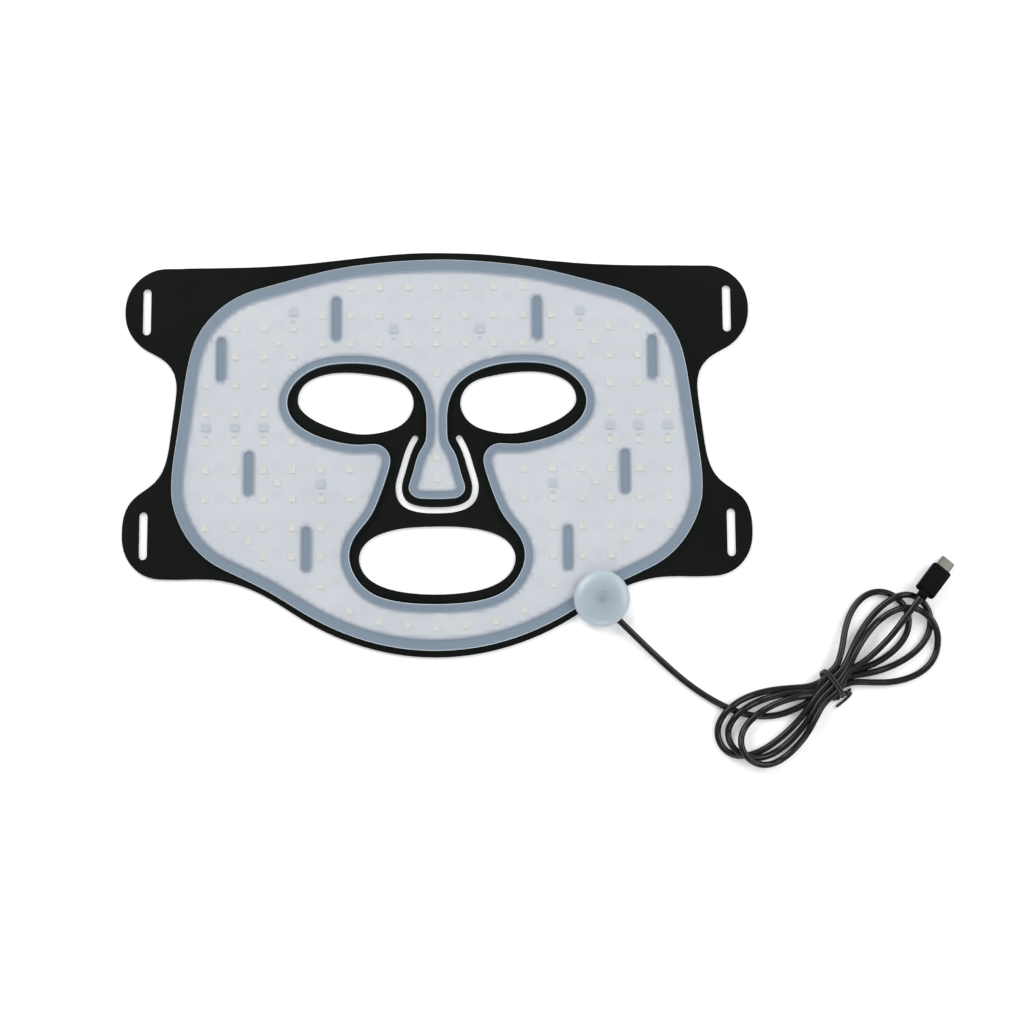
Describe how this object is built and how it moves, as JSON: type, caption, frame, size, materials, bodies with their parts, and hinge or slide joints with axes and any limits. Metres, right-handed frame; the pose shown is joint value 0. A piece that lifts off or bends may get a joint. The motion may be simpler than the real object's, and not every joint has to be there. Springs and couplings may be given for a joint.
{
  "type": "led face mask",
  "caption": "Flexible light therapy face mask lying flat, with translucent front cover, strap tabs, round push button pod and tied USB-C lead.",
  "frame": {"origin": "on the table under the middle of the mask's own box, without the free cord", "axes": "+X across the face to the side of the control pod, +Y from chin to forehead, +Z out of the LED side"},
  "size_m": [0.4579, 0.2859, 0.0117],
  "materials": {
    "black_silicone": "matte moulded silicone",
    "white_circuit": "white solder mask",
    "led_package": "white package with pale yellow window",
    "chip_black": "moulded chip black",
    "milky_silicone": "translucent milky silicone",
    "white_plastic": "satin moulded plastic",
    "cord_black": "glossy black cord jacket",
    "tie_black": "black plastic coated wire",
    "plug_black": "satin black overmould",
    "plug_metal": "drawn nickel plated steel",
    "core_copper": "gold plated contact"
  },
  "bodies": {
    "mask": {"back_sheet": "black_silicone", "flex_board": "white_circuit", "forehead_leds": "led_package", "left_cheek_leds": "led_package", "right_cheek_leds": "led_package", "nose_leds": "led_package", "chin_leds": "led_package", "driver_chips": "chip_black", "resistors": "chip_black", "front_cover": "milky_silicone", "pod_base": "white_plastic", "pod_board": "white_circuit", "switch_body": "chip_black", "controller_chip": "chip_black", "indicator_led": "led_package", "cable_gland": "cord_black", "cable_cores": "core_copper", "cable_lead": "cord_black", "cable_hank": "cord_black", "cable_tail": "cord_black", "twist_tie": "tie_black", "plug_overmould": "plug_black", "plug_shell": "plug_metal", "plug_liner": "plug_black", "plug_contacts": "core_copper"},
    "upper_left_tab": {"upper_left_tab": "black_silicone"},
    "upper_right_tab": {"upper_right_tab": "black_silicone"},
    "lower_left_tab": {"lower_left_tab": "black_silicone"},
    "lower_right_tab": {"lower_right_tab": "black_silicone"},
    "power_button": {"button_cap": "milky_silicone", "switch_plunger": "chip_black"}
  },
  "joints": [
    {"name": "upper_left_flex", "type": "hinge", "parent": "mask", "child": "upper_left_tab", "pos_m": [-0.13775, 0.074, 0.002], "axis": [0.2766, 0.961, 0], "range_deg": [0, 70], "stiffness_Nm_per_rad": 0.01},
    {"name": "upper_right_flex", "type": "hinge", "parent": "mask", "child": "upper_right_tab", "pos_m": [0.13775, 0.074, 0.002], "axis": [0.2766, -0.961, 0], "range_deg": [0, 70], "stiffness_Nm_per_rad": 0.01},
    {"name": "lower_left_flex", "type": "hinge", "parent": "mask", "child": "lower_left_tab", "pos_m": [-0.14425, -0.042, 0.002], "axis": [-0.3976, 0.9176, 0], "range_deg": [0, 70], "stiffness_Nm_per_rad": 0.01},
    {"name": "lower_right_flex", "type": "hinge", "parent": "mask", "child": "lower_right_tab", "pos_m": [0.14425, -0.042, 0.002], "axis": [-0.3976, -0.9176, 0], "range_deg": [0, 70], "stiffness_Nm_per_rad": 0.01},
    {"name": "power_press", "type": "slide", "parent": "mask", "child": "power_button", "axis": [0, 0, -1], "range_m": [0, 0.0005], "stiffness_N_per_m": 3600}
  ]
}
